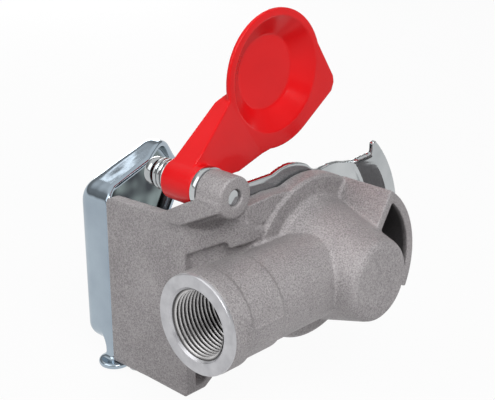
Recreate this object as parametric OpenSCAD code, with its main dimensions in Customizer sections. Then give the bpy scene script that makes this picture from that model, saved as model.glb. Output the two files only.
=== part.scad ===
// Palm-type air brake coupling head with a hinged dust lid.
// Millimetres. +X runs along the seal axis from the seal face to the closed end of the cup,
// -Y is the way the threaded port faces, +Z is up. The origin is the centre of the seal face.

/* [Seal nose and palm flange] */
// outer diameter of the nose that carries the seal ring
nose_d = 42; // [38:0.5:44]
// set-back of the nose rim behind the seal face
nose_back = 1.3; // [1:0.1:2]
// bore of the seal ring seat
seat_d = 35.2; // [32:0.1:36]
// depth of the seal ring seat
seat_depth = 7.1; // [6:0.1:8]
// front face of the palm flange, measured from the seal face
palm_x = 11.6; // [10:0.2:13]
// thickness of the palm flange
flange_t = 6.8; // [5:0.2:9]
// diameter of the palm flange
flange_d = 57; // [54:0.5:60]

/* [Cup] */
// diameter of the cup where it leaves the flange
cup_base_d = 41.4; // [40:0.2:45]
// diameter of the cup at its rounded shoulder
cup_shoulder_d = 27.8; // [26:0.2:30]
// diameter of the flat closed end
cup_end_d = 23.6; // [20:0.2:25]
// distance of the closed end from the seal face
cup_end = 46.6; // [44:0.2:50]
// wall of the cup
cup_wall = 4.6; // [3.5:0.1:6]

/* [Port] */
// port axis, measured from the seal face
port_x = 26.1; // [25:0.1:28]
// distance of the port mouth from the seal axis
port_y = 61.2; // [56:0.2:66]
// nominal diameter of the port thread
port_d = 22; // [18:1:24]
// thread pitch
port_pitch = 1.5; // [1:0.25:2]
// length of full thread
port_thread = 16; // [12:0.5:20]
// diameter of the machined collar around the mouth
collar_d = 31.8; // [29:0.2:34]
// length of the collar
collar_len = 7.9; // [5:0.1:10]
// diameter of the tube behind the collar
tube_d = 30; // [28:0.2:31]
// diameter of the tube at its root
root_d = 28.6; // [27:0.2:29]
// distance of the root step from the mouth
root_at = 22; // [18:0.5:26]

/* [Hinge lug] */
// height of the hinge axis above the seal axis
hinge_z = 30.8; // [29:0.2:34]
// distance of the hinge axis from the seal axis towards the port side
hinge_y = 36.5; // [35:0.2:38]
// diameter of the cast hinge boss
boss_d = 13.6; // [12.6:0.2:15]
// front end of the boss, measured from the seal face
boss_x = 7.6; // [7.2:0.1:9]
// length of the boss
boss_len = 10.6; // [9.6:0.2:12]
// top of the web that joins the claw wall to the flange
web_top = 21; // [19:0.2:22]
// height of the scoop under the boss
scoop_h = 4.6; // [3:0.2:6]

/* [Claw wall] */
// outer face of the claw wall, distance from the seal axis
claw_y = 42; // [41:0.2:45]
// thickness of the claw wall
claw_t = 4; // [3:0.1:5]
// free end of the claw wall, in front of the seal face
claw_front = 37.8; // [35:0.2:40]
// top of the claw wall
claw_top = 18; // [16:0.2:18.6]
// rise of the claw wall from its free end to the web
claw_rise = 2.2; // [0:0.1:2.6]
// bottom of the claw wall, below the seal axis
claw_bottom = 44; // [40:0.2:46]
// thickness of the bottom stop
stop_t = 2.6; // [2:0.1:4]

/* [Tongue] */
// outer diameter of the tongue wall
tongue_d = 57.8; // [56:0.2:60]
// thickness of the tongue wall
tongue_t = 3.1; // [2.5:0.1:4]
// rear face of the tongue, measured from the seal face
tongue_back = 37.7; // [34:0.2:41]
// angle of the upper end wall
tongue_hi = 58; // [50:1:64]
// angle of the lower end wall
tongue_lo = -27; // [-40:1:-20]

/* [Sheet metal] */
// thickness of the claw plate
plate_t = 2.2; // [1.5:0.1:2.6]
// outer face of the claw plate, in front of the seal face
plate_front = 54; // [52:0.2:56]
// depth of the upper rim of the claw plate
rim_depth = 13.8; // [11:0.2:14.6]
// bend allowance along the rim of the claw plate
bend = 4.2; // [3:0.1:5]
// thickness of the guide plate on the palm
guide_t = 2; // [1.5:0.1:2.4]
// radius of the guide plate edge
guide_r = 30.2; // [29.4:0.2:32]
// radius at which the guide plate steps back
step_r = 37.4; // [36:0.2:39]
// how far the stepped rim of the guide plate lies behind the plate
step_x = 6.8; // [5:0.1:8]
// outer radius of the stepped rim
horn_r = 45.7; // [44:0.1:47]
// height of the tip of the stepped rim above the seal axis
horn_z = 33.3; // [31:0.1:35]
// diameter of the rivets
rivet_d = 4; // [3:0.1:4.6]

/* [Lid] */
// outer diameter of the lid rim
lid_d = 43.8; // [42.6:0.2:45]
// diameter of the dish at the rim
dish_d = 39; // [37:0.2:41]
// diameter of the flat dish floor
floor_d = 25; // [20:0.2:28]
// depth of the dish
dish_depth = 5.3; // [3.5:0.1:5.5]
// depth of the lid from rim to back
lid_t = 6.6; // [6:0.1:7.2]
// thickness of the lid rim
rim_t = 1.6; // [1.2:0.1:2.4]
// how far the lever stands out in front of the rim at the hub
lever_out = 3.6; // [1:0.1:4.5]
// gap from the seal face to the lid rim
lid_gap = 1.7; // [1.4:0.1:2.4]
// diameter of the lid hub
hub_d = 13.6; // [13:0.2:15]
// how far the hub stands out behind the lid rim
hub_out = 6.6; // [5:0.1:6.8]
// lid opening in the drawn pose, measured from closed
lid_open = 75; // [0:1:85]

/* [Hinge pin and spring] */
// diameter of the hinge pin
pin_d = 5.4; // [5:0.1:6.4]
// diameter of the pin head
head_d = 9.6; // [9:0.1:12]
// thickness of the pin head
head_t = 3; // [2:0.1:4]
// wire diameter of the lid spring
wire_d = 1.5; // [1:0.1:1.6]
// turns of the lid spring
turns = 3; // [3:0.5:4]
// outer diameter of the lid spring
spring_d = 10.6; // [10:0.1:12]
// space the spring takes along the pin
spring_len = 7.2; // [6.5:0.1:10]
// radial clearance of a running fit
run_fit = 0.08; // [0.04:0.01:0.1]
// clearance of a seated part
seat_fit = 0.05; // [0.02:0.01:0.1]

/* [Hidden] */
$fn = 72;
nose_r = nose_d / 2;
seat_r = seat_d / 2;
flange_r = flange_d / 2;
back_x = palm_x + flange_t;
edge_x = cup_end - (cup_shoulder_d - cup_end_d) / 2 - 0.3;
minor_r = (port_d - 1.0825 * port_pitch) / 2;
mouth_r = port_d / 2 + 0.6;
feed_r = minor_r - 2;
pin_r = pin_d / 2;
pin_hole_r = pin_r + run_fit;
hub_end = hub_out - lid_gap;
hub_front = -lid_gap - lid_t;
body_gap = 0.3;
washer_t = boss_x - hub_end - body_gap - seat_fit;
head_end = hub_front - spring_len;
boss_end = boss_x + boss_len;
web_end = back_x - 0.4;
pillar_x = web_end - 5.2;
arm_rise = 24;
arm_y = hinge_y + boss_d / 2 + 0.5;
wall_in = claw_y - claw_t;
arm = sqrt(hinge_y * hinge_y + hinge_z * hinge_z);
shut_angle = atan2(-hinge_z, hinge_y);
lid_r = lid_d / 2;
dish_r = dish_d / 2;
floor_r = floor_d / 2;
tongue_r = tongue_d / 2;
guide_x = palm_x - guide_t;
rivet_r = rivet_d / 2;
plate_in = plate_front - plate_t;
rim_gap = 0.3;
guide_angles = [112, 20, -62];
tab_z = claw_bottom + plate_t;
tab_ys = [-claw_y + 7, -claw_y + 13];
tab_in = 5;
neck_w = 4.6;
lip_r = 6;
tab_x = -claw_front + tab_in;
neck_x = -claw_front - rim_gap - neck_w;
rim_x = -plate_front + rim_depth;
lip_x = -plate_front + bend + 0.6;
free_top = claw_top - 4;
free_low = claw_bottom - 11;

// part to draw, or all of them

// sweeps a (Y, Z) outline along X
module along_x(x0, x1) {
    translate([x0, 0, 0]) rotate([90, 0, 90]) linear_extrude(height = x1 - x0) children();
}

// sweeps an (X, Z) outline along Y
module along_y(y0, y1) {
    translate([0, y1, 0]) rotate([90, 0, 0]) linear_extrude(height = y1 - y0) children();
}

// sweeps an (X, Y) outline along Z
module along_z(z0, z1) {
    translate([0, 0, z0]) linear_extrude(height = z1 - z0) children();
}

// turns a (radius, X) outline about the seal axis
module about_x() {
    rotate([0, 90, 0]) rotate_extrude() children();
}

// turns a (radius, depth) outline about the port axis, depth counted from the mouth
module about_port() {
    translate([port_x, -port_y, 0]) rotate([-90, 0, 0]) rotate_extrude() children();
}

// round bar along X on the hinge axis
module hinge_bar(x0, x1, r) {
    translate([x0, -hinge_y, hinge_z]) rotate([0, 90, 0]) cylinder(h = x1 - x0, r = r);
}

// round bar along X at an angle about the seal axis
module polar_bar(radius, angle, x0, x1, r) {
    translate([x0, radius * cos(angle), radius * sin(angle)]) rotate([0, 90, 0])
        cylinder(h = x1 - x0, r = r, $fn = 32);
}

// nose, palm flange and cup, all turned about the seal axis
module turned_body() {
    about_x() polygon([
        [0, nose_back],
        [nose_r - 0.8, nose_back],
        [nose_r, nose_back + 0.8],
        [nose_r, palm_x],
        [flange_r - 0.7, palm_x],
        [flange_r, palm_x + 0.7],
        [flange_r, back_x - 0.9],
        [flange_r - 0.9, back_x],
        [cup_base_d / 2 + 1.6, back_x],
        [cup_base_d / 2, back_x + 1.6],
        [cup_shoulder_d / 2, edge_x],
        [cup_shoulder_d / 2 - 0.6, edge_x + 1.5],
        [cup_end_d / 2, cup_end],
        [0, cup_end]]);
}

// air chamber: seal seat, throat and the hollow of the cup
module chamber() {
    about_x() polygon([
        [0, -5],
        [seat_r, -5],
        [seat_r, nose_back + seat_depth],
        [cup_base_d / 2 - cup_wall - 3, nose_back + seat_depth],
        [cup_base_d / 2 - cup_wall - 3, back_x],
        [cup_shoulder_d / 2 - cup_wall, edge_x - 2],
        [0, edge_x - 2]]);
}

// port tube with its collar and root step
module port_tube() {
    about_port() polygon([
        [0, 0],
        [collar_d / 2 - 0.7, 0],
        [collar_d / 2, 0.7],
        [collar_d / 2, collar_len],
        [tube_d / 2, collar_len + 0.9],
        [tube_d / 2, root_at],
        [root_d / 2, root_at + 0.7],
        [root_d / 2, port_y - 9],
        [0, port_y - 9]]);
}

// drilled and tapped passage from the mouth to the chamber
module port_bore() {
    about_port() polygon([
        [0, -1],
        [mouth_r, -1],
        [mouth_r, 0],
        [minor_r, mouth_r - minor_r],
        [minor_r, port_thread + 3],
        [feed_r, port_thread + 5],
        [feed_r, port_y],
        [0, port_y]]);
}

// plan of the web that runs from the claw wall to the flange
module web_plan(inset) {
    polygon([
        [-1.4, -claw_y + 0.1 + inset],
        [0.9, -claw_y + 0.1 + inset],
        [web_end, -claw_y + 11 + inset * 1.4],
        [web_end, -flange_r + 4.6],
        [palm_x + 0.4, -flange_r + 4.6],
        [3.2, -wall_in + 3.4],
        [-1.4, -wall_in]]);
}

// web under the hinge boss, with a pillar that meets the underside of the boss
module lug_web() {
    intersection() {
        along_z(web_top - 16, hinge_z + 1) web_plan(0);
        union() {
            along_y(-claw_y, -flange_r + 6) polygon([
                [-2, web_top - 14],
                [pillar_x - 0.6, web_top - 6.8],
                [pillar_x, web_top - 9.2],
                [web_end + 1, web_top - 6.2],
                [web_end + 1, web_top],
                [-2, web_top]]);
            along_y(-claw_y, -hinge_y + boss_d / 2 - 1.5) polygon([
                [-2, web_top - 1],
                [-2, web_top + 1.4],
                [boss_x, web_top + 5],
                [boss_x + 1, hinge_z],
                [boss_end - 1.8, hinge_z],
                [boss_end - 1.8, web_top - 1]]);
        }
    }
}

// hinge boss with the rising arm and the web that carry it
module lug() {
    along_z(-14, web_top - 8) web_plan(2.8);
    difference() {
        lug_web();
        lug_scoop();
        along_x(palm_x - 6, back_x + 2) translate([-flange_r + 4.6, web_top + 4]) circle(r = 7.4);
    }
    lug_arm();
    lug_shoulder();
    hinge_bar(boss_x, boss_end - 0.5, boss_d / 2);
    translate([boss_end - 0.5, -hinge_y, hinge_z]) rotate([0, 90, 0])
        cylinder(h = 0.5, r1 = boss_d / 2, r2 = boss_d / 2 - 0.5);
}

// arm that rises from the claw wall and runs along the outer side of the boss
module lug_arm() {
    intersection() {
        along_z(web_top - 6, hinge_z + 1) polygon([
            [-10, -claw_y + 0.1],
            [0.4, -arm_y],
            [boss_end - 0.7, -arm_y],
            [boss_end - 0.7, -hinge_y],
            [-10, -wall_in]]);
        along_y(-arm_y - 1, -wall_in + 4) polygon([
            [-10, web_top - 4],
            [-10, claw_top + 1.9],
            [boss_x - 2, hinge_z - 2.2],
            [boss_x, hinge_z - 1.4],
            [boss_x + 0.4, hinge_z - 0.4],
            [boss_end - 0.7, hinge_z - 0.4],
            [boss_end - 0.7, hinge_z - 3.4],
            [0.4, web_top - 2.2]]);
    }
}

// shoulder between the boss and the flange, behind the guide plate
module lug_shoulder() {
    along_x(palm_x, back_x - 1) polygon([
        [-9, 26.2],
        [-12, 26.4],
        [-18.7, 26.8],
        [-hinge_y + 5, 26.2],
        [-hinge_y + 5, 20.6],
        [-26, 19.2],
        [-21, 18.4],
        [-14, 17]]);
}

// scoop in the outer face of the web, under the arm
module lug_scoop() {
    intersection() {
        translate([11.1, -claw_y - 4.7, web_top + 4.6]) sphere(r = 13);
        translate([0.6, -60, web_top - 2.1]) rotate([0, -arm_rise, 0]) translate([-20, 0, -20])
            cube([60, 40, 20]);
    }
}

// room for the hub and for the lever as the lid swings shut
module lid_path() {
    hinge_bar(hub_front - 1, boss_x, hub_d / 2 + 0.4);
    along_x(hub_front - 1, lever_out - lid_gap + 0.6) translate([-hinge_y, hinge_z]) rotate(shut_angle)
        polygon([[0, -hub_d / 2 - 0.4], [9, -hub_d / 2 - 0.8], [16, -13.2], [30, -20.4], [30, 12], [0, 8]]);
}

// claw wall with the stop along its lower edge
module claw_wall() {
    along_y(-claw_y, -wall_in) polygon([
        [-claw_front, -claw_bottom],
        [0.9, -claw_bottom + 1.8],
        [0.9, claw_top + claw_rise],
        [-claw_front + 2.6, claw_top + 0.2],
        [-claw_front + 0.6, claw_top - 0.6],
        [-claw_front, claw_top - 2.4]]);
    along_x(-claw_front, -0.9) polygon([
        [-claw_y + 0.6, -claw_bottom + 0.1],
        [-claw_y + 10, -claw_bottom + 0.1],
        [-claw_y + 14.2, -claw_bottom + 3],
        [-claw_y + 12.8, -claw_bottom + 3.2 + stop_t],
        [-claw_y + 9, -claw_bottom + stop_t],
        [-claw_y + claw_t + 2, -claw_bottom + stop_t],
        [-claw_y + claw_t - 1, -claw_bottom + stop_t + 3]]);
}

// curved tongue wall with its two end walls
module tongue() {
    along_x(back_x - 1, tongue_back) intersection() {
        difference() {
            circle(r = tongue_r);
            circle(r = tongue_r - tongue_t);
        }
        polygon([
            [0, 0],
            [60 * cos(tongue_lo), 60 * sin(tongue_lo)],
            [75, 0],
            [60 * cos(tongue_hi), 60 * sin(tongue_hi)]]);
    }
    reach = tongue_r - 0.3 - cup_shoulder_d / 2;
    along_x(back_x - 1, tongue_back) rotate(tongue_hi) translate([cup_shoulder_d / 2, -tongue_t])
        square([reach, tongue_t]);
    along_x(back_x - 1, tongue_back - 3) rotate(tongue_lo) translate([cup_shoulder_d / 2, 0])
        square([reach, tongue_t]);
}

// one-piece casting
module body() color([0.66, 0.65, 0.65]) {
    difference() {
        union() {
            turned_body();
            port_tube();
            lug();
            claw_wall();
            tongue();
        }
        chamber();
        port_bore();
        lid_path();
        hinge_bar(boss_x - 1, boss_end + 1, pin_r + seat_fit);
        for (a = guide_angles) polar_bar(nose_r + 4.4, a, palm_x - 1, palm_x + 5, rivet_r + seat_fit);
        for (y = tab_ys) translate([tab_x, y, -claw_bottom - 1])
            cylinder(h = stop_t + 3, r = rivet_r + seat_fit - 0.4, $fn = 32);
    }
}

// rubber ring that seals against the mating head
module seal_ring() color([0.09, 0.09, 0.1]) {
    about_x() polygon([
        [seat_r - 6.4, 0],
        [seat_r - 2.2, 0],
        [seat_r - 1.4, 1.1],
        [seat_r - seat_fit, nose_back + 0.2],
        [seat_r - seat_fit, nose_back + seat_depth - seat_fit],
        [seat_r - 6.4, nose_back + seat_depth - seat_fit]]);
}

// what lies outside the guide plate: beyond its round edge, its crown, shoulder and wing
module guide_outside() {
    difference() {
        square(140, center = true);
        circle(r = guide_r);
        translate([-5.2, 12.2]) circle(r = 20);
        polygon([[0, 20], [-10, 30.7], [-26, 30.7], [-26, 24.6], [-16, 20]]);
        intersection() {
            circle(r = step_r);
            polygon([[8, 16], [13, 26.4], [14.5, 27.3], [20.3, 26.9], [23.9, 26], [50, 22], [50, 4], [20, 0]]);
        }
    }
}

// rim of the guide plate, stepped back and drawn up into a horn
module guide_rim() {
    intersection() {
        about_x() polygon([
            [step_r - 1.2, guide_x],
            [step_r + 0.9, guide_x],
            [step_r + 4.7, guide_x + step_x],
            [horn_r, guide_x + step_x],
            [horn_r, palm_x + step_x - 0.1],
            [step_r + 3.6, palm_x + step_x - 0.1],
            [step_r - 0.2, palm_x - 0.1],
            [step_r - 1.2, palm_x - 0.1]]);
        along_x(guide_x - 2, back_x + 4) polygon([
            [20, 2.6],
            [60, 6.4],
            [60, horn_z - 0.7],
            [30.8, horn_z],
            [29.9, horn_z - 0.6],
            [29.8, 29],
            [28.7, 25],
            [20, 25.6]]);
    }
}

// steel plate on the palm, with a dip in its upper edge
module guide_plate() color([0.72, 0.75, 0.78]) {
    difference() {
        union() {
            along_x(guide_x - seat_fit, palm_x - seat_fit) difference() {
                square(120, center = true);
                guide_outside();
                circle(r = nose_r + 0.25);
                translate([11, guide_r + 5.5]) circle(r = 9);
                polygon([[-40, -17], [-14, -17], [-14, 17], [-19, 21], [-40, 21]]);
                difference() {
                    polygon([[-50, 18], [0, 0], [50, 5], [50, -50], [-50, -50]]);
                    circle(r = flange_r - 0.9);
                }
            }
            guide_rim();
        }
        for (a = guide_angles) polar_bar(nose_r + 4.4, a, guide_x - 2, palm_x + 2, rivet_r + seat_fit);
    }
}

// flat-headed rivets that hold the guide plate
module guide_rivets() color([0.7, 0.72, 0.75]) {
    for (a = guide_angles) {
        polar_bar(nose_r + 4.4, a, guide_x - 1, palm_x + 4.6, rivet_r);
        polar_bar(nose_r + 4.4, a, guide_x - seat_fit - 1.3, guide_x - seat_fit * 2, rivet_r + 1.5);
    }
}

// points of a rounded corner, drawn in by a margin m
function corner(y, z, r, a0, a1, m) =
    [for (i = [0:5]) let (a = a0 + (a1 - a0) * i / 5, q = max(r - m, 0.4)) [y + q * cos(a), z + q * sin(a)]];

// outline of the claw plate in (Y, Z), drawn in by an even margin
module pan_outline(m) {
    polygon(concat(
        corner(-claw_y + 6, -claw_bottom + 9.4, 5.4, 180, 270, m),
        corner(-claw_y + 14.4, -claw_bottom + 9.4, 5.4, 270, 326, m),
        corner(-4, claw_top - 6.2, 8, -34, 35, m),
        corner(-10.8, claw_top + 2.2, 8.2, 35, 108, m),
        corner(-claw_y + 7.8, claw_top - 5.4, 7.4, 108, 180, m)));
}

// pressed tray with a bent rim
module pan_solid(m, x0) {
    hull() for (t = [0, 30, 60, 90])
        along_x(x0 + bend * (1 - sin(t)), -claw_front - rim_gap) pan_outline(m + bend * (1 - cos(t)));
}

// pressed steel claw plate: rim cut low on its free side, and a tab that hooks under the stop
module claw_plate() color([0.72, 0.75, 0.78]) {
    difference() {
        pan_solid(0, -plate_front);
        pan_solid(plate_t, -plate_in);
        along_z(-claw_bottom - 1, claw_top + 20) polygon([
            [-claw_front, -claw_y + 1.8],
            [rim_x, -claw_y + 6],
            [rim_x, -20],
            [rim_x - 2.2, -16],
            [lip_x, -0.6],
            [lip_x, 10],
            [0, 10],
            [0, -claw_y + 1.8]]);
        along_x(lip_x, 0) translate([-wall_in + 2.4, -free_low]) square([60, free_top + free_low]);
    }
    difference() {
        claw_tab();
        for (y = tab_ys) translate([tab_x, y, -tab_z - 1])
            cylinder(h = plate_t + 2, r = rivet_r + seat_fit - 0.4, $fn = 32);
    }
}

// neck of the claw plate with the round lip and the tab under the stop
module claw_tab() {
    along_y(-claw_y + 0.4, -claw_y + 0.4 + plate_t) polygon([
        [-claw_front - rim_gap, -claw_bottom + 9],
        [neck_x - 1.6, -claw_bottom + 9],
        [neck_x, -claw_bottom + 3.6],
        [neck_x, -tab_z + 0.3],
        [-claw_front - rim_gap, -tab_z + 0.3]]);
    along_z(-tab_z, -claw_bottom - seat_fit) difference() {
        translate([neck_x - 20, -claw_y - 20]) square([60, 60]);
        difference() {
            translate([neck_x - 30, -claw_y - 30]) square([80, 80]);
            translate([-claw_front - 1.4, -claw_y + 2.2]) circle(r = lip_r);
            translate([neck_x + 1, -claw_y + 5.6]) square([tab_x + 4 - neck_x, 10.4]);
        }
    }
}

// rivets through the tab into the stop
module claw_rivets() color([0.7, 0.72, 0.75]) {
    for (y = tab_ys) translate([tab_x, y, 0]) {
        translate([0, 0, -tab_z - 0.6]) cylinder(h = stop_t + plate_t + 0.8, r = rivet_r - 0.4, $fn = 32);
        translate([0, 0, -tab_z - 1.2]) cylinder(h = 1.2 - seat_fit, r = rivet_r + 1, $fn = 32);
    }
}

// headed pin fixed in the boss
module hinge_pin() color([0.74, 0.76, 0.79]) {
    hinge_bar(head_end - head_t, boss_end - 0.8, pin_r);
    hinge_bar(head_end - head_t, head_end, head_d / 2);
}

// washer between the boss and the lid hub
module thrust_washer() color([0.78, 0.79, 0.81]) {
    difference() {
        hinge_bar(hub_end + body_gap, hub_end + body_gap + washer_t, hub_d / 2 + 0.3);
        hinge_bar(hub_end - 1, boss_x + 1, pin_r + seat_fit);
    }
}

// point on the coil of the lid spring; a runs along the wire, b around it
function coil_point(a, b) =
    let (
        r = spring_d / 2 - wire_d / 2,
        w = wire_d / 2,
        t = a / (360 * turns),
        x = head_end + seat_fit + w + t * (spring_len - wire_d - body_gap - seat_fit)
    ) [x + w * sin(b), -hinge_y + (r + w * cos(b)) * cos(a), hinge_z + (r + w * cos(b)) * sin(a)];

// compression spring that presses the hub against the washer
module lid_spring() color([0.8, 0.81, 0.83]) {
    n = 24 * turns;
    k = 8;
    pts = [for (i = [0:n]) for (j = [0:k - 1]) coil_point(i * 360 * turns / n, j * 360 / k)];
    sides = [for (i = [0:n - 1]) for (j = [0:k - 1])
        [i * k + j, (i + 1) * k + j, (i + 1) * k + (j + 1) % k, i * k + (j + 1) % k]];
    start = [[for (j = [0:k - 1]) j]];
    finish = [[for (j = [0:k - 1]) n * k + k - 1 - j]];
    polyhedron(points = pts, faces = concat(sides, start, finish));
}

// rim outline of the lid in (along the arm, across the arm), hinge axis at the zero point
module rim_outline() {
    translate([arm, 0]) circle(r = lid_r);
    intersection() {
        translate([arm, -0.6]) circle(r = lid_r + 2.8);
        polygon([[arm - 20, -10], [arm + 17, -10], [arm + 17, -40], [arm - 20, -40]]);
    }
    polygon([
        [arm, 0],
        [arm + lid_r * cos(12), lid_r * sin(12)],
        [arm + lid_r - 1.2, -lid_r + 0.6],
        [arm + lid_r - 2.2, -lid_r - 1.6],
        [arm + lid_r - 4.8, -lid_r - 3.4],
        [arm, -lid_r - 3.4]]);
}

// lever between the hub and the dish, same axes
module lever_outline() {
    polygon([
        [-1, hub_d / 2 - 0.4],
        [arm - lid_r * 0.7, hub_d / 2 + 1.9],
        [arm - lid_r * 0.5, 0],
        [arm - lid_r * 0.56, -lid_r + 0.9],
        [16, -12.2],
        [9, -hub_d / 2 - 0.1],
        [0, -hub_d / 2],
        [-4, -hub_d / 2 + 1.4]]);
}

// profile of the lever in (along the arm, X): thick at the hub, thin at the rim
module lever_profile() {
    polygon([
        [-10, hub_front + 0.8],
        [arm - lid_r, hub_front + 0.8],
        [arm - lid_r * 0.6, -lid_gap - rim_t],
        [arm - lid_r * 0.4, -lid_gap - rim_t],
        [arm - lid_r * 0.4, -lid_gap],
        [arm - lid_r * 0.92, -lid_gap],
        [hub_d / 2, lever_out - lid_gap],
        [-10, lever_out - lid_gap]]);
}

// plastic dust lid on its hinge hub, drawn open
module lid() color([0.85, 0.08, 0.1]) {
    translate([0, -hinge_y, hinge_z]) rotate([shut_angle + lid_open, 0, 0]) difference() {
        union() {
            along_x(-lid_gap - rim_t, -lid_gap) rim_outline();
            intersection() {
                along_x(hub_front, hub_end) lever_outline();
                translate([0, 0, -40]) rotate([180, 0, 90]) mirror([0, 0, 1]) linear_extrude(height = 80)
                    lever_profile();
            }
            translate([hub_front, arm, 0]) rotate([0, 90, 0])
                cylinder(h = lid_t - rim_t + 0.4, r1 = floor_r + 1.4, r2 = dish_r - 0.6);
            translate([hub_front, 0, 0]) rotate([0, 90, 0]) cylinder(h = hub_end - hub_front, r = hub_d / 2);
        }
        translate([-lid_gap - dish_depth, arm, 0]) rotate([0, 90, 0])
            cylinder(h = dish_depth + 0.01, r1 = floor_r, r2 = dish_r);
        translate([hub_front - 1, 0, 0]) rotate([0, 90, 0])
            cylinder(h = hub_end - hub_front + 2, r = pin_hole_r);
    }
}

body();
seal_ring();
guide_plate();
guide_rivets();
claw_plate();
claw_rivets();
hinge_pin();
thrust_washer();
lid_spring();
lid();
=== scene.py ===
import math

import bpy
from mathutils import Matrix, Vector


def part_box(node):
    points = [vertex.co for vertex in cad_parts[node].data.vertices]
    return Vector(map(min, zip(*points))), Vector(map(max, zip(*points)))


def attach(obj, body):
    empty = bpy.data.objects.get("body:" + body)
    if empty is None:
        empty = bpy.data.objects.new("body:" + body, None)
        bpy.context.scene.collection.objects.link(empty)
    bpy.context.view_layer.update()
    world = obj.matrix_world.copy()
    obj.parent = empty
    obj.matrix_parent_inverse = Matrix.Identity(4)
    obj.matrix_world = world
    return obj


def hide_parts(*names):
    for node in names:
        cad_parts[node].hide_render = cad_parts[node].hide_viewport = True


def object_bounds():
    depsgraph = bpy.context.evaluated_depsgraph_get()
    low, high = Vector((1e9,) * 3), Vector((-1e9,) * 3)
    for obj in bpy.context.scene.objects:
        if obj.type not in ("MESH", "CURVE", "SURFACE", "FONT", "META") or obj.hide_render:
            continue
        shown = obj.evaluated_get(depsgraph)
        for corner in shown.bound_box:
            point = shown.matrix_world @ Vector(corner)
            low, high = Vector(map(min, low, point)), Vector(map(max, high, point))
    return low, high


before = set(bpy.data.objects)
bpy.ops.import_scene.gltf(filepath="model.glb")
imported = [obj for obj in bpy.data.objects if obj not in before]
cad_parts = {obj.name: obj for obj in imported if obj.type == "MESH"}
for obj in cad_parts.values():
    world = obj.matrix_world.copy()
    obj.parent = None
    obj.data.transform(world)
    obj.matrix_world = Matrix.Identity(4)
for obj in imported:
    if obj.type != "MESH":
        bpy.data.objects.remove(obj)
cad_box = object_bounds()

# The head is one aluminium casting: palm flange, cup, port tube, claw wall, tongue and hinge lug.
# The mould rounds its edges and leaves a matte, finely grained skin and a trace of its seam on the
# tube. The mouth of the port is bored out to take the machined and tapped lining below.
MM = 0.001
PORT_X = 26.1 * MM
PORT_MOUTH_Y = -61.2 * MM
PORT_FACING = 1.0 * MM
LINING_R = 13.0 * MM
LINING_DEPTH = 19.0 * MM
COLLAR_R = 15.9 * MM
TUBE_R = 15.0 * MM
SEAM_SIZE = (1.0 * MM, 12.4 * MM, 0.7 * MM)
SEAM_PLACE = (PORT_X + TUBE_R, PORT_MOUTH_Y + 15.4 * MM, 0.8 * MM)
RECESS_NEAR_X = (15 * MM, 17 * MM)
RECESS_FAR_X = (35.5 * MM, 37.4 * MM)
RECESS_R = (26 * MM, 27.3 * MM)
RECESS_TOP = (math.radians(51), math.radians(55))
RECESS_LOW = (math.radians(-25), math.radians(-21))


def pick(piece):
    """Selects one piece alone and makes it the active one."""
    if bpy.context.mode != "OBJECT":
        bpy.ops.object.mode_set(mode="OBJECT")
    bpy.ops.object.select_all(action="DESELECT")
    piece.select_set(True)
    bpy.context.view_layer.objects.active = piece


def finish_with(piece, kind, **settings):
    """Adds one modifier to a piece, sets it up and applies it."""
    pick(piece)
    bpy.ops.object.modifier_add(type=kind)
    tool = piece.modifiers[-1]
    for key, value in settings.items():
        setattr(tool, key, value)
    bpy.ops.object.modifier_apply(modifier=tool.name)


def merged_copy(node, name):
    """A copy of a solid whose loose triangles are joined into one skin."""
    piece = bpy.data.objects.new(name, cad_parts[node].data.copy())
    bpy.context.scene.collection.objects.link(piece)
    piece.data.name = name
    piece.data.materials.clear()
    pick(piece)
    bpy.ops.object.mode_set(mode="EDIT")
    bpy.ops.mesh.select_all(action="SELECT")
    bpy.ops.mesh.remove_doubles(threshold=0.000002)
    bpy.ops.object.mode_set(mode="OBJECT")
    return piece


def triangle_count(piece):
    """How many triangles the piece has."""
    return sum(len(face.vertices) - 2 for face in piece.data.polygons)


def soften(piece, grid, corner, rounds, triangles):
    """Rounds a solid as a mould or press does: inner corners by a radius, edges by smoothing."""
    finish_with(piece, "REMESH", mode="VOXEL", voxel_size=grid)
    if corner > 0:
        finish_with(piece, "DISPLACE", strength=corner, mid_level=0)
        finish_with(piece, "REMESH", mode="VOXEL", voxel_size=grid)
        finish_with(piece, "DISPLACE", strength=-corner, mid_level=0)
        finish_with(piece, "REMESH", mode="VOXEL", voxel_size=grid)
    finish_with(piece, "SMOOTH", factor=0.5, iterations=rounds)
    count = triangle_count(piece)
    if count > triangles:
        finish_with(piece, "DECIMATE", ratio=triangles / count)
    pick(piece)
    bpy.ops.object.shade_smooth()


def settle(piece, body, slot, finish, *nodes):
    """Gives a piece its finish and its body, and hides the solids it stands for."""
    piece.data.materials.clear()
    piece.data.materials.append(finish)
    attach(piece, body)
    if nodes:
        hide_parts(*nodes)


def new_finish(name):
    """An empty node finish: its tree, its shader and its Object coordinates."""
    finish = bpy.data.materials.new(name)
    finish.use_nodes = True
    tree = finish.node_tree
    shader = tree.nodes["Principled BSDF"]
    place = tree.nodes.new("ShaderNodeTexCoord").outputs["Object"]
    return finish, tree, shader, place


def mottle(tree, place, scale, detail=2.0, roughness=0.5):
    """A noise pattern in the object's own coordinates."""
    noise = tree.nodes.new("ShaderNodeTexNoise")
    noise.inputs["Scale"].default_value = scale
    noise.inputs["Detail"].default_value = detail
    noise.inputs["Roughness"].default_value = roughness
    tree.links.new(place, noise.inputs["Vector"])
    return noise.outputs["Fac"]


def span(tree, source, low, high, start=0.3, end=0.7):
    """Maps a pattern from start..end to low..high."""
    ramp = tree.nodes.new("ShaderNodeMapRange")
    ramp.inputs["From Min"].default_value = start
    ramp.inputs["From Max"].default_value = end
    ramp.inputs["To Min"].default_value = low
    ramp.inputs["To Max"].default_value = high
    tree.links.new(source, ramp.inputs["Value"])
    return ramp.outputs["Result"]


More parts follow.
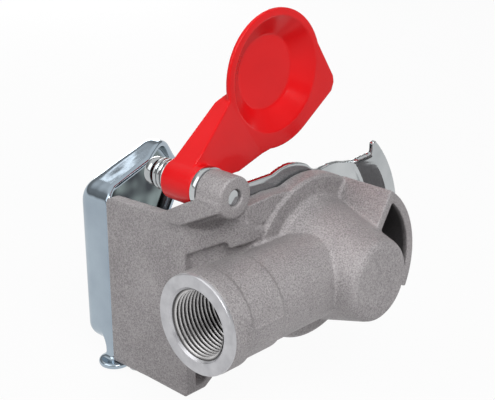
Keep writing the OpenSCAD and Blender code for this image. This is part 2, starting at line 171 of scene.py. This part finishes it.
def two_tone(tree, source, dark, light, start=0.3, end=0.7):
    """Colours a pattern between two tones."""
    ramp = tree.nodes.new("ShaderNodeValToRGB")
    ramp.color_ramp.elements[0].position = start
    ramp.color_ramp.elements[0].color = (*dark, 1)
    ramp.color_ramp.elements[1].position = end
    ramp.color_ramp.elements[1].color = (*light, 1)
    tree.links.new(source, ramp.inputs["Fac"])
    return ramp.outputs["Color"]


def relief(tree, shader, source, height, strength=1.0):
    """Lets a pattern stand up from the surface by a height in metres."""
    bump = tree.nodes.new("ShaderNodeBump")
    bump.inputs["Strength"].default_value = strength
    bump.inputs["Distance"].default_value = height
    tree.links.new(source, bump.inputs["Height"])
    tree.links.new(bump.outputs["Normal"], shader.inputs["Normal"])


def combine(tree, operation, first, second):
    """Joins two values by one sum."""
    node = tree.nodes.new("ShaderNodeMath")
    node.operation = operation
    tree.links.new(first, node.inputs[0])
    tree.links.new(second, node.inputs[1])
    return node.outputs[0]


def all_bands(tree, bands):
    """One where every band holds. A band is a source with its low, high, start and end."""
    mask = span(tree, *bands[0])
    for band in bands[1:]:
        mask = combine(tree, "MULTIPLY", mask, span(tree, *band))
    return mask


def lay_over(tree, mask, base):
    """A mix that shows the base tone where the mask is nought, and a patch where it is one."""
    mix = tree.nodes.new("ShaderNodeMix")
    mix.data_type = "RGBA"
    tree.links.new(mask, mix.inputs[0])
    tree.links.new(base, mix.inputs[6])
    return mix.inputs[7], mix.outputs[2]


def reach_from_axis(tree, place, keep, shift=(0, 0, 0)):
    """How far a point is from an axis: keep flattens the coordinates along it."""
    flat = tree.nodes.new("ShaderNodeMapping")
    flat.inputs["Location"].default_value = shift
    flat.inputs["Scale"].default_value = keep
    tree.links.new(place, flat.inputs["Vector"])
    reach = tree.nodes.new("ShaderNodeVectorMath")
    reach.operation = "LENGTH"
    tree.links.new(flat.outputs["Vector"], reach.inputs[0])
    return reach.outputs["Value"]


def split(tree, place):
    """The X, Y and Z of the coordinates."""
    parts = tree.nodes.new("ShaderNodeSeparateXYZ")
    tree.links.new(place, parts.inputs[0])
    return parts.outputs["X"], parts.outputs["Y"], parts.outputs["Z"]


def recess_shade_mask(tree, place):
    """One in the recess between tongue, cup and flange, where shade is painted; nought elsewhere.
    """
    x, y, z = split(tree, place)
    angle = combine(tree, "ARCTAN2", z, y)
    return all_bands(tree, (
        (x, 0, 1, *RECESS_NEAR_X),
        (x, 1, 0, *RECESS_FAR_X),
        (reach_from_axis(tree, place, (0, 1, 1)), 1, 0, *RECESS_R),
        (angle, 1, 0, *RECESS_TOP),
        (angle, 0, 1, *RECESS_LOW)))


def cast_finish():
    """Matte cast aluminium: a fine grain, a faint cloudy tone and painted shade in the recess."""
    finish, tree, shader, place = new_finish("cast_aluminium")
    grain = mottle(tree, place, 2200, 3, 0.65)
    cloud = mottle(tree, place, 60, 3)
    cloudy_grain = tree.nodes.new("ShaderNodeMix")
    cloudy_grain.inputs[0].default_value = 0.2
    tree.links.new(grain, cloudy_grain.inputs[2])
    tree.links.new(cloud, cloudy_grain.inputs[3])
    tone = two_tone(
        tree, cloudy_grain.outputs[0], (0.22, 0.205, 0.21), (0.475, 0.45, 0.455), 0.37, 0.63)
    # The recess between tongue, cup and flange is painted near black as shade.
    painted_recess_shade, tone = lay_over(tree, recess_shade_mask(tree, place), tone)
    painted_recess_shade.default_value = (0.07, 0.066, 0.068, 1)
    tree.links.new(tone, shader.inputs["Base Color"])
    tree.links.new(span(tree, grain, 0.5, 0.68), shader.inputs["Roughness"])
    shader.inputs["Metallic"].default_value = 0.45
    relief(tree, shader, grain, 0.0003, 0.9)
    return finish


cast = cast_finish()
casting = merged_copy("body", "casting")
bpy.ops.mesh.primitive_cylinder_add(
    vertices=128, radius=LINING_R, depth=LINING_DEPTH + 2 * MM,
    location=(PORT_X, PORT_MOUTH_Y + LINING_DEPTH / 2 - 1 * MM, 0), rotation=(math.pi / 2, 0, 0))
port_cutter = bpy.context.active_object
bpy.ops.mesh.primitive_cylinder_add(
    vertices=64, radius=COLLAR_R + 4 * MM, depth=4 * MM,
    location=(PORT_X, PORT_MOUTH_Y + PORT_FACING - 2 * MM, 0), rotation=(math.pi / 2, 0, 0))
face_cutter = bpy.context.active_object
for cutter in (port_cutter, face_cutter):
    finish_with(casting, "BOOLEAN", operation="DIFFERENCE", solver="EXACT", object=cutter)
    bpy.data.objects.remove(cutter)
bpy.ops.object.select_all(action="DESELECT")
bpy.ops.mesh.primitive_cube_add(size=1, location=SEAM_PLACE, scale=SEAM_SIZE)
seam = bpy.context.active_object
finish_with(casting, "BOOLEAN", operation="UNION", solver="EXACT", object=seam)
bpy.data.objects.remove(seam)
soften(casting, grid=0.3 * MM, corner=0.6 * MM, rounds=1, triangles=195000)
settle(casting, "head", "cast", cast, "body")

# The port lining is the machined part of the casting: a turned ring face around the mouth and an
# internal M22 x 1.5 thread, cut bright, with a chamfer that leads the male fitting in. The thread
# has painted shade in its roots and a painted highlight on its crests.
THREAD_PITCH = 1.5 * MM
THREAD_ROOT_R = 11.05 * MM
THREAD_CREST_R = 10.19 * MM
THREAD_TURNS = 11
MOUTH_R = 11.75 * MM


def draw_line(name, points, closed):
    """Draws a line through the given points, one extrude after another."""
    bpy.ops.object.select_all(action="DESELECT")
    bpy.ops.mesh.primitive_plane_add(size=MM, location=(0, 0, 0))
    piece = bpy.context.active_object
    piece.name = name
    piece.data.name = name
    bpy.ops.object.mode_set(mode="EDIT")
    bpy.ops.mesh.select_all(action="SELECT")
    bpy.ops.mesh.merge(type="CENTER")
    bpy.ops.transform.translate(value=points[0])
    for before, after in zip(points, points[1:]):
        step = Vector(after) - Vector(before)
        bpy.ops.mesh.extrude_region_move(TRANSFORM_OT_translate={"value": step})
    if closed:
        bpy.ops.mesh.select_all(action="SELECT")
        bpy.ops.mesh.edge_face_add()
        bpy.ops.mesh.delete(type="ONLY_FACE")
    bpy.ops.object.mode_set(mode="OBJECT")
    return piece


def turn_to_port(piece):
    """Moves a piece turned about Z onto the port axis, with its zero height at the mouth."""
    pick(piece)
    piece.rotation_euler = (-math.pi / 2, 0, 0)
    piece.location = (PORT_X, PORT_MOUTH_Y, 0)
    bpy.ops.object.transform_apply(location=True, rotation=True, scale=True)


def tidy_skin(piece):
    """Joins doubled points and turns every face outwards."""
    pick(piece)
    bpy.ops.object.mode_set(mode="EDIT")
    bpy.ops.mesh.select_all(action="SELECT")
    bpy.ops.mesh.remove_doubles(threshold=0.000001)
    bpy.ops.mesh.normals_make_consistent(inside=False)
    bpy.ops.object.mode_set(mode="OBJECT")


def machined_finish():
    """Bright turned aluminium with faint tool rings about the port axis."""
    finish, tree, shader, place = new_finish("machined_aluminium")
    shift = tree.nodes.new("ShaderNodeMapping")
    shift.inputs["Location"].default_value = (-PORT_X, 0, 0)
    tree.links.new(place, shift.inputs["Vector"])
    rings = tree.nodes.new("ShaderNodeTexWave")
    rings.wave_type = "RINGS"
    rings.rings_direction = "Y"
    rings.inputs["Scale"].default_value = 900
    rings.inputs["Distortion"].default_value = 0.6
    tree.links.new(shift.outputs["Vector"], rings.inputs["Vector"])
    cloud = mottle(tree, place, 300, 3)
    tone = two_tone(tree, cloud, (0.44, 0.44, 0.46), (0.56, 0.56, 0.58))
    tree.links.new(tone, shader.inputs["Base Color"])
    tree.links.new(span(tree, cloud, 0.3, 0.42), shader.inputs["Roughness"])
    shader.inputs["Metallic"].default_value = 0.8
    relief(tree, shader, rings.outputs["Fac"], 0.00002, 0.5)
    return finish


def tapped_finish():
    """The thread: a painted highlight on its crests and painted shade in its roots."""
    finish, tree, shader, place = new_finish("tapped_aluminium")
    reach = reach_from_axis(tree, place, (1, 0, 1), (-PORT_X, 0, 0))
    depth = span(tree, reach, 0, 1, THREAD_CREST_R, THREAD_ROOT_R)
    # Dark roots are painted shade and bright crests a painted highlight, graded by distance from
    # the axis.
    tone = two_tone(tree, depth, (0.72, 0.71, 0.71), (0.06, 0.058, 0.058), 0.1, 0.75)
    tree.links.new(tone, shader.inputs["Base Color"])
    tree.links.new(span(tree, mottle(tree, place, 900, 2), 0.25, 0.4), shader.inputs["Roughness"])
    shader.inputs["Metallic"].default_value = 0.7
    return finish


machined = machined_finish()
tapped = tapped_finish()
lining_profile = [
    (MOUTH_R, 0, 0),
    (THREAD_ROOT_R, 0, MOUTH_R - THREAD_ROOT_R),
    (THREAD_ROOT_R, 0, LINING_DEPTH),
    (LINING_R, 0, LINING_DEPTH),
    (LINING_R, 0, PORT_FACING),
    (COLLAR_R - 0.1 * MM, 0, PORT_FACING),
    (COLLAR_R - 0.15 * MM, 0, 0.3 * MM),
    (COLLAR_R - 0.4 * MM, 0, 0)]
lining = draw_line("port_lining", lining_profile, True)
finish_with(lining, "SCREW", axis="Z", angle=2 * math.pi, steps=128, render_steps=128,
            use_merge_vertices=True, merge_threshold=0.000002)
thread_profile = [
    (THREAD_ROOT_R + 0.1 * MM, 0, 0.34 * MM),
    (THREAD_CREST_R, 0, 0.98 * MM),
    (THREAD_CREST_R, 0, 1.16 * MM),
    (THREAD_ROOT_R + 0.1 * MM, 0, 1.8 * MM)]
thread = draw_line("port_thread", thread_profile, True)
finish_with(thread, "SCREW", axis="Z", angle=2 * math.pi, screw_offset=THREAD_PITCH,
            iterations=THREAD_TURNS, steps=72, render_steps=72, use_merge_vertices=False)
pick(thread)
bpy.ops.object.mode_set(mode="EDIT")
bpy.ops.mesh.select_all(action="SELECT")
bpy.ops.mesh.fill_holes(sides=6)
bpy.ops.object.mode_set(mode="OBJECT")
for piece, finish in ((lining, machined), (thread, tapped)):
    turn_to_port(piece)
    tidy_skin(piece)
    pick(piece)
    bpy.ops.object.shade_smooth_by_angle(angle=math.radians(25))
    settle(piece, "head", "cast", finish)

# The dust lid is moulded in glossy red plastic: a shallow dish with a thumb corner, a tapering
# lever and a hub that turns on the hinge pin. Its edges are softly rounded by the mould.


def red_finish():
    """Glossy red plastic with a faint moulding unevenness."""
    finish, tree, shader, place = new_finish("red_plastic")
    cloud = mottle(tree, place, 45, 2)
    fine = mottle(tree, place, 700, 2)
    tone = two_tone(tree, cloud, (0.74, 0.004, 0.006), (0.82, 0.007, 0.01))
    tree.links.new(tone, shader.inputs["Base Color"])
    tree.links.new(span(tree, fine, 0.14, 0.22), shader.inputs["Roughness"])
    shader.inputs["Specular IOR Level"].default_value = 0.2
    relief(tree, shader, fine, 0.00002, 0.3)
    return finish


red = red_finish()
dust_lid = merged_copy("lid", "dust_lid")
soften(dust_lid, grid=0.25 * MM, corner=0.25 * MM, rounds=2, triangles=150000)
settle(dust_lid, "lid", "red_plastic", red, "lid")

# The claw plate is pressed from sheet steel and zinc plated: a tray with wide bends along its rim,
# and a tab that hooks under the stop of the claw wall. The inner face of the tray has painted
# shade and painted dark reflections.
TRAY_BACK_X = (-53 * MM, -52.4 * MM)
TRAY_FRONT_X = (-51 * MM, -50 * MM)
TRAY_SIDE_Y = (-40 * MM, -38 * MM)
TRAY_TOP_Z = (29.5 * MM, 31 * MM)
TRAY_TOP_LEAN = -0.36


def tray_shade_mask(tree, place):
    """One on the inner face of the claw tray, where shade is painted; nought on its rim."""
    x, y, z = split(tree, place)
    level = tree.nodes.new("ShaderNodeMath")
    level.operation = "MULTIPLY_ADD"
    level.inputs[1].default_value = TRAY_TOP_LEAN
    tree.links.new(y, level.inputs[0])
    tree.links.new(z, level.inputs[2])
    return all_bands(tree, (
        (x, 0, 1, *TRAY_BACK_X),
        (x, 1, 0, *TRAY_FRONT_X),
        (y, 0, 1, *TRAY_SIDE_Y),
        (level.outputs[0], 1, 0, *TRAY_TOP_Z)))


def zinc_finish(name, dark, light, waves):
    """Bright zinc plate on rolled steel, a little wavy, in two tones, with painted shade in the
    tray.
    """
    finish, tree, shader, place = new_finish(name)
    cloud = mottle(tree, place, 55, 3)
    fine = mottle(tree, place, 900, 2)
    drawn = tree.nodes.new("ShaderNodeMapping")
    drawn.inputs["Scale"].default_value = (1, 0.35, 0.5)
    tree.links.new(place, drawn.inputs["Vector"])
    dents = mottle(tree, drawn.outputs["Vector"], waves, 1)
    # The inner face of the tray is painted dark, with mottled dark and greenish patches as painted
    # shade and reflections.
    painted_tray_shade = two_tone(
        tree, mottle(tree, place, 110, 1), (0.055, 0.062, 0.07), (0.23, 0.28, 0.28), 0.38, 0.62)
    patch, tone = lay_over(tree, tray_shade_mask(tree, place), two_tone(tree, cloud, dark, light))
    tree.links.new(painted_tray_shade, patch)
    tree.links.new(tone, shader.inputs["Base Color"])
    tree.links.new(span(tree, fine, 0.05, 0.12), shader.inputs["Roughness"])
    shader.inputs["Metallic"].default_value = 1.0
    relief(tree, shader, dents, 0.08 / waves, 0.5)
    return finish


blue_zinc = zinc_finish("blue_zinc", (0.3, 0.36, 0.42), (0.37, 0.44, 0.5), 170)
claw_tray = merged_copy("claw_plate", "claw_tray")
soften(claw_tray, grid=0.4 * MM, corner=0.9 * MM, rounds=18, triangles=110000)
settle(claw_tray, "head", "zinc", blue_zinc, "claw_plate")

# The guide plate is pressed from the same plated sheet. It lies against the back of the palm, and
# its edge is set down in a step and drawn out into a horn.
white_zinc = zinc_finish("white_zinc", (0.38, 0.4, 0.41), (0.52, 0.54, 0.55), 80)
palm_plate = merged_copy("guide_plate", "palm_plate")
soften(palm_plate, grid=0.3 * MM, corner=0.4 * MM, rounds=3, triangles=90000)
settle(palm_plate, "head", "zinc", white_zinc, "guide_plate")

# The washer and the pin are steel as well, turned with sharp edges that were only broken, and the
# rivets have small flat heads.


def break_edges(node, name, width):
    """A copy of a solid with its sharp edges broken."""
    piece = merged_copy(node, name)
    pick(piece)
    bpy.ops.object.mode_set(mode="EDIT")
    bpy.ops.mesh.select_all(action="SELECT")
    bpy.ops.mesh.dissolve_limited(angle_limit=math.radians(1))
    bpy.ops.object.mode_set(mode="OBJECT")
    finish_with(piece, "BEVEL", width=width, segments=2, limit_method="ANGLE",
                angle_limit=math.radians(35))
    pick(piece)
    bpy.ops.object.shade_smooth_by_angle(angle=math.radians(30))
    return piece


for node, name, width in (
        ("guide_rivets", "palm_rivets", 0.45),
        ("claw_rivets", "tab_rivets", 0.45),
        ("hinge_pin", "lid_pin", 0.6),
        ("thrust_washer", "hub_washer", 0.3)):
    settle(break_edges(node, name, width * MM), "head", "zinc", white_zinc, node)

# The lid spring is a coil of bright round steel wire. It is wound round the hinge pin, between
# the head of the pin and the lid hub.
SPRING_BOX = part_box("lid_spring")
WIRE_R = 0.75 * MM
SPRING_TURNS = 3
HINGE = Vector((0, -36.5 * MM, 30.8 * MM))
coil_radius = (SPRING_BOX[1].y - SPRING_BOX[0].y) / 2 - WIRE_R
coil_rise = SPRING_BOX[1].x - SPRING_BOX[0].x - 2 * WIRE_R
wire_points = [
    (coil_radius + WIRE_R * math.cos(turn), 0, WIRE_R * math.sin(turn))
    for turn in [2 * math.pi * k / 14 for k in range(14)]]
coil = draw_line("hub_spring", wire_points, True)
finish_with(coil, "SCREW", axis="Z", angle=2 * math.pi, screw_offset=coil_rise / SPRING_TURNS,
            iterations=SPRING_TURNS, steps=56, render_steps=56, use_merge_vertices=False)
pick(coil)
bpy.ops.object.mode_set(mode="EDIT")
bpy.ops.mesh.select_all(action="SELECT")
bpy.ops.mesh.fill_holes(sides=16)
bpy.ops.object.mode_set(mode="OBJECT")
coil.rotation_euler = (0, math.pi / 2, 0)
coil.location = (SPRING_BOX[0].x + WIRE_R, HINGE.y, HINGE.z)
bpy.ops.object.transform_apply(location=True, rotation=True, scale=True)
tidy_skin(coil)
pick(coil)
bpy.ops.object.shade_smooth_by_angle(angle=math.radians(40))
settle(coil, "head", "zinc", white_zinc, "lid_spring")

# The seal ring is moulded in black rubber, with a flat sealing face. It is pressed into its seat
# in the nose and stands a little proud of it.


def rubber_finish():
    """Matte black rubber."""
    finish, tree, shader, place = new_finish("seal_rubber")
    fine = mottle(tree, place, 1200, 3)
    tone = two_tone(tree, fine, (0.012, 0.012, 0.013), (0.03, 0.03, 0.032))
    tree.links.new(tone, shader.inputs["Base Color"])
    tree.links.new(span(tree, fine, 0.55, 0.75), shader.inputs["Roughness"])
    relief(tree, shader, fine, 0.00004, 0.4)
    return finish


rubber = rubber_finish()
settle(break_edges("seal_ring", "nose_seal", 0.5 * MM), "head", "rubber", rubber, "seal_ring")

# The camera stands to the right of the port and a little above it, as in the photograph. Its place
# and its turn were solved from the circles and straight edges of the object.
CAMERA_PLACE = (0.23581, -0.25527, 0.14877)
CAMERA_DOWN = 21.006
CAMERA_TURN = 44.187
camera_data = bpy.data.cameras.new("camera")
camera_data.lens = 80
camera_data.sensor_width = 36
camera_data.clip_start = 0.01
camera = bpy.data.objects.new("camera", camera_data)
camera.location = CAMERA_PLACE
camera.rotation_euler = (math.radians(90 - CAMERA_DOWN), 0, math.radians(CAMERA_TURN))
bpy.context.scene.collection.objects.link(camera)
bpy.context.scene.camera = camera

# A plain white floor lies just under the lowest point. It looks nearly white, and it keeps a faint
# shadow of the object.
FLOOR_GAP = 0.2 * MM
FLOOR_GLOW = 0.95


def seen_rays(tree):
    """One for a ray from the camera, a mirror or glass, and nought for one that lights."""
    path = tree.nodes.new("ShaderNodeLightPath").outputs
    seen = combine(tree, "MAXIMUM", path["Is Camera Ray"], path["Is Glossy Ray"])
    return combine(tree, "MAXIMUM", seen, path["Is Transmission Ray"])


bpy.ops.object.select_all(action="DESELECT")
bpy.ops.mesh.primitive_plane_add(size=8, location=(0, 0, cad_box[0][2] - FLOOR_GAP))
floor = bpy.context.active_object
floor.name = "floor"
floor_finish = bpy.data.materials.new("white_floor")
floor_finish.use_nodes = True
floor_tree = floor_finish.node_tree
floor_shader = floor_tree.nodes["Principled BSDF"]
floor_shader.inputs["Base Color"].default_value = (0.6, 0.6, 0.61, 1)
floor_shader.inputs["Roughness"].default_value = 0.9
glow = floor_tree.nodes.new("ShaderNodeEmission")
glow.inputs["Color"].default_value = (1, 1, 1, 1)
blend = floor_tree.nodes.new("ShaderNodeMixShader")
share = span(floor_tree, seen_rays(floor_tree), 0, FLOOR_GLOW, 0, 1)
floor_tree.links.new(share, blend.inputs[0])
floor_tree.links.new(floor_shader.outputs[0], blend.inputs[1])
floor_tree.links.new(glow.outputs[0], blend.inputs[2])
floor_tree.links.new(blend.outputs[0], floor_tree.nodes["Material Output"].inputs["Surface"])
floor.data.materials.append(floor_finish)

# Soft studio light: a large lamp above on the right, weaker ones on the left and behind, and a
# small one that glints on the rims. The pale room's walls, as metal shows them, are darker in
# a band above the object.
ROOM_LIGHT = 0.18
world = bpy.data.worlds.new("studio")
bpy.context.scene.world = world
world.use_nodes = True
room = world.node_tree
backdrop = room.nodes["Background"]
backdrop_level = span(room, seen_rays(room), ROOM_LIGHT, 1, 0, 1)
room.links.new(backdrop_level, backdrop.inputs["Strength"])
height = split(room, room.nodes.new("ShaderNodeTexCoord").outputs["Generated"])[2]
walls = room.nodes.new("ShaderNodeValToRGB")
walls.color_ramp.interpolation = "EASE"
for position, tone in ((0.1, 1.0), (0.26, 0.25), (0.5, 0.35), (0.75, 1.0)):
    stop = walls.color_ramp.elements.new(position)
    stop.color = (tone, tone, tone, 1)
walls.color_ramp.elements[0].color = (1, 1, 1, 1)
room.links.new(height, walls.inputs["Fac"])
mirrored = room.nodes.new("ShaderNodeLightPath").outputs["Is Glossy Ray"]
paint = room.nodes.new("ShaderNodeMix")
paint.data_type = "RGBA"
paint.inputs[6].default_value = (1, 1, 1, 1)
room.links.new(mirrored, paint.inputs[0])
room.links.new(walls.outputs["Color"], paint.inputs[7])
room.links.new(paint.outputs[2], backdrop.inputs["Color"])


def soft_lamp(name, place, target, size, power):
    """A square soft lamp that looks at a point."""
    data = bpy.data.lights.new(name, "AREA")
    data.shape = "SQUARE"
    data.size = size
    data.energy = power
    lamp = bpy.data.objects.new(name, data)
    lamp.location = place
    lamp.rotation_euler = (Vector(target) - Vector(place)).to_track_quat("-Z", "Y").to_euler()
    bpy.context.scene.collection.objects.link(lamp)


soft_lamp("key_lamp", (0.5, -0.26, 0.58), (0, 0, 0), 0.4, 4.9)
soft_lamp("fill_lamp", (-0.25, -0.6, 0.5), (0, 0, 0), 0.6, 2.0)
soft_lamp("back_lamp", (-0.65, 0.4, 0.16), (0, 0, 0), 0.3, 1.4)
soft_lamp("rim_lamp", (-0.64, 0.165, 0.525), (0, 0, 0), 0.05, 0.012)

bpy.context.scene.view_settings.view_transform = "Standard"
